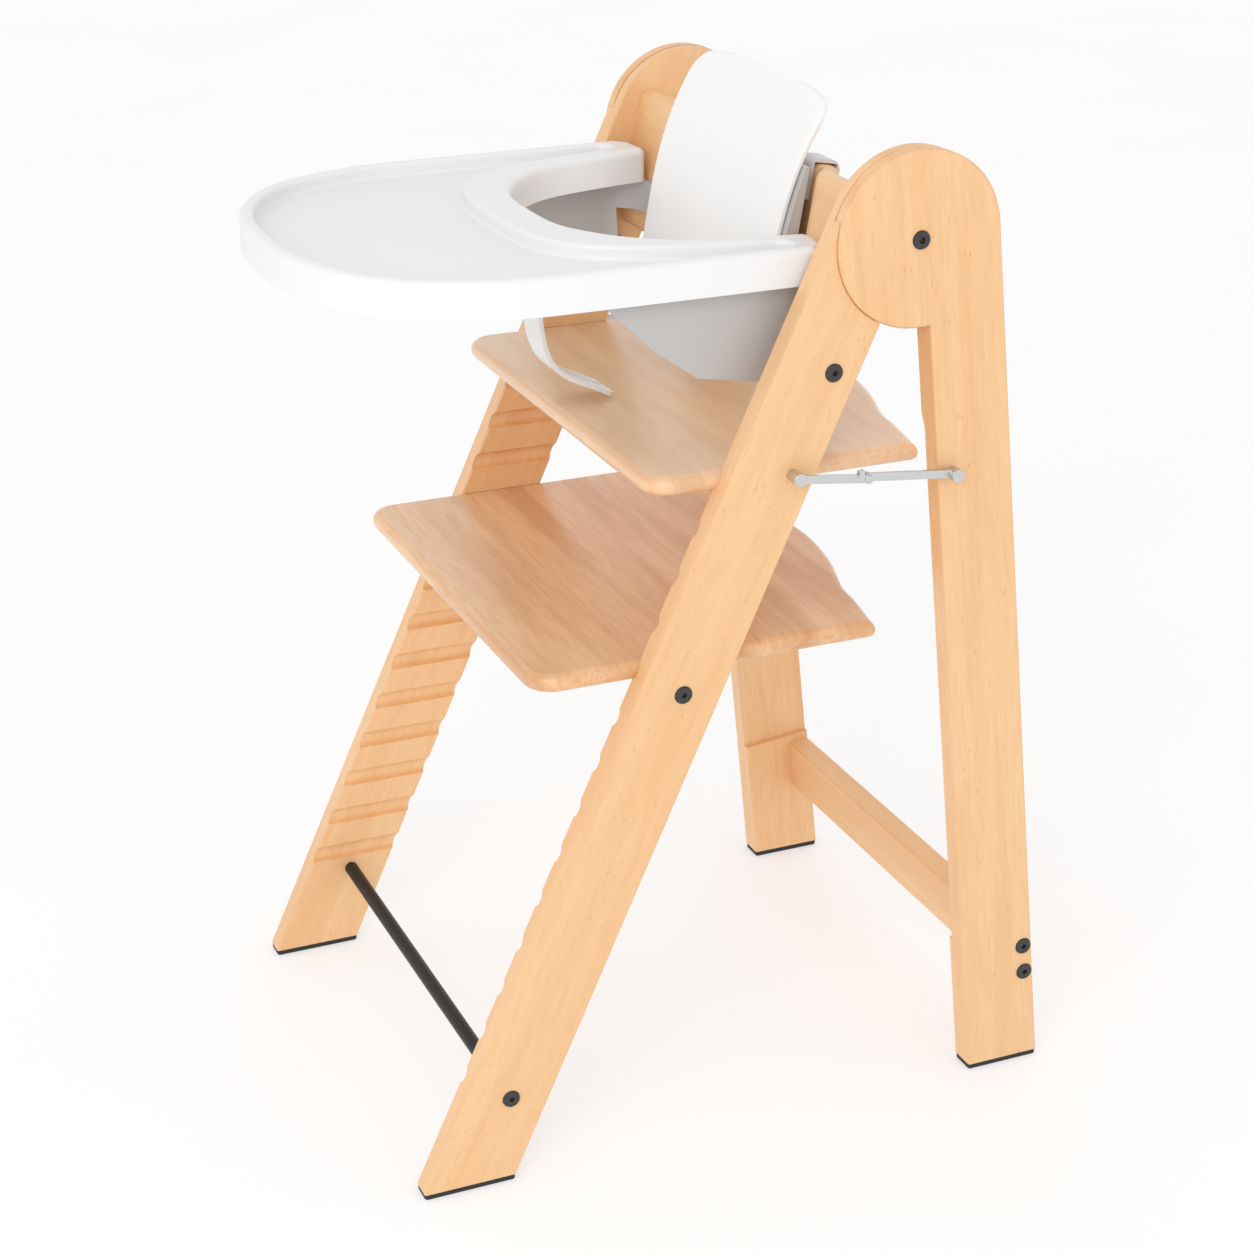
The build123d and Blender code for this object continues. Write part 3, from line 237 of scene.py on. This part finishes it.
FINISHES = {
    "front_leg_right": beech("beech_front_leg_right", BEECH_FRAME, GRAIN_FRONT_LEG, 1),
    "front_leg_left": beech("beech_front_leg_left", BEECH_FRAME, GRAIN_FRONT_LEG, 2),
    "rear_leg_right": beech("beech_rear_leg_right", BEECH_FRAME, GRAIN_REAR_LEG, 3),
    "rear_leg_left": beech("beech_rear_leg_left", BEECH_FRAME, GRAIN_REAR_LEG, 4),
    "rear_crossbar": beech("beech_crossbar", BEECH_FRAME, GRAIN_SIDEWAYS, 5),
    "back_board": beech("beech_back_board", BEECH_FRAME, GRAIN_SIDEWAYS, 6),
    # The seat board takes the lighter tones: painted fill light, not a different wood.
    "seat_board": beech(
        "beech_seat_board_painted_fill", BEECH_SEAT_PAINTED_FILL, GRAIN_SIDEWAYS, 7, STAVE_WIDTH, GLOSSY_LACQUER
    ),
    "foot_board": beech(
        "beech_foot_board", BEECH_BOARD, GRAIN_SIDEWAYS, 8, STAVE_WIDTH, GLOSSY_LACQUER
    ),
    "tray": WHITE_TRAY,
    "backrest_shell": WHITE_BACKREST,
    "side_shell": GREY_SHELL,
    "hook_clips": PALE_GREY,
    "tray_catches": GREY_SHELL,
    "crotch_strap": FROSTED,
    "front_feet": RUBBER,
    "rear_feet": RUBBER,
    "front_rod": ROD_BLACK,
    "upper_tie_rod": ROD_BLACK,
    "lower_tie_rod": ROD_BLACK,
    "pivot_washers": NYLON,
}
SLOT_FINISHES = {"black_steel": BLACK, "bright_steel": STEEL, "zinc_steel": ZINC}
slot_of = {part["node"]: part["material_slot"] for part in frame["record"]["subparts"]}
for name, cad in nodes.items():
    finish = FINISHES.get(name) or SLOT_FINISHES[slot_of[name]]
    cad.data.materials.clear()
    cad.data.materials.append(finish)


# ---- Floor, light and camera --------------------------------------------------------------
def floor_sheet(half):
    mesh = bpy.data.meshes.new("floor")
    corners = [(-half, -half, 0), (half, -half, 0), (half, half, 0), (-half, half, 0)]
    mesh.from_pydata(corners, [], [(0, 1, 2, 3)])
    floor = bpy.data.objects.new("floor", mesh)
    bpy.context.scene.collection.objects.link(floor)
    s = Shader("floor", Roughness=0.8, Specular_IOR_Level=0.1, Emission_Strength=0.5)
    s.surface.inputs["Emission Color"].default_value = (1, 1, 1, 1)
    place = s.node("ShaderNodeTexCoord").outputs["Object"]
    tone = s.ramp(s.noise(place, 2.0), 0.3, 0.7, 0.5, 0.51)
    s.set("Base Color", s.grey(tone))
    mesh.materials.append(s.material)
    return floor


def softbox(name, location, aim, size, power):
    light = bpy.data.lights.new(name, "AREA")
    light.shape = "SQUARE"
    light.size = size
    light.energy = power
    made = bpy.data.objects.new(name, light)
    bpy.context.scene.collection.objects.link(made)
    made.location = location
    direction = made.location - aim
    made.rotation_euler = direction.to_track_quat("Z", "Y").to_euler()


floor_sheet(FLOOR_HALF)
middle = (cad_low + cad_high) / 2
softbox("key", KEY_PLACE, middle, KEY_SIZE, KEY_POWER)

scene = bpy.context.scene
world = bpy.data.worlds.new("studio")
world.use_nodes = True
# The sky is a little dimmer overhead than at the horizon.
sky = world.node_tree.nodes["Background"]
above = world.node_tree.nodes.new("ShaderNodeTexCoord")
upward = world.node_tree.nodes.new("ShaderNodeSeparateXYZ")
fall = world.node_tree.nodes.new("ShaderNodeMapRange")
for socket, value in ((1, 0.0), (2, 1.0), (3, HORIZON_LIGHT), (4, ZENITH_LIGHT)):
    fall.inputs[socket].default_value = value
world.node_tree.links.new(above.outputs["Generated"], upward.inputs[0])
world.node_tree.links.new(upward.outputs[2], fall.inputs[0])
world.node_tree.links.new(fall.outputs[0], sky.inputs[1])
sky.inputs[0].default_value = (1, 1, 1, 1)
scene.world = world
scene.view_settings.view_transform = "Standard"

camera_data = bpy.data.cameras.new("camera")
camera_data.lens = CAMERA_LENS
camera_data.sensor_width = CAMERA_SENSOR
camera_data.clip_end = 100.0
camera = bpy.data.objects.new("camera", camera_data)
camera.location = CAMERA_PLACE
camera.rotation_euler = Euler((CAMERA_TILT, 0, CAMERA_HEADING))
scene.collection.objects.link(camera)
scene.camera = camera
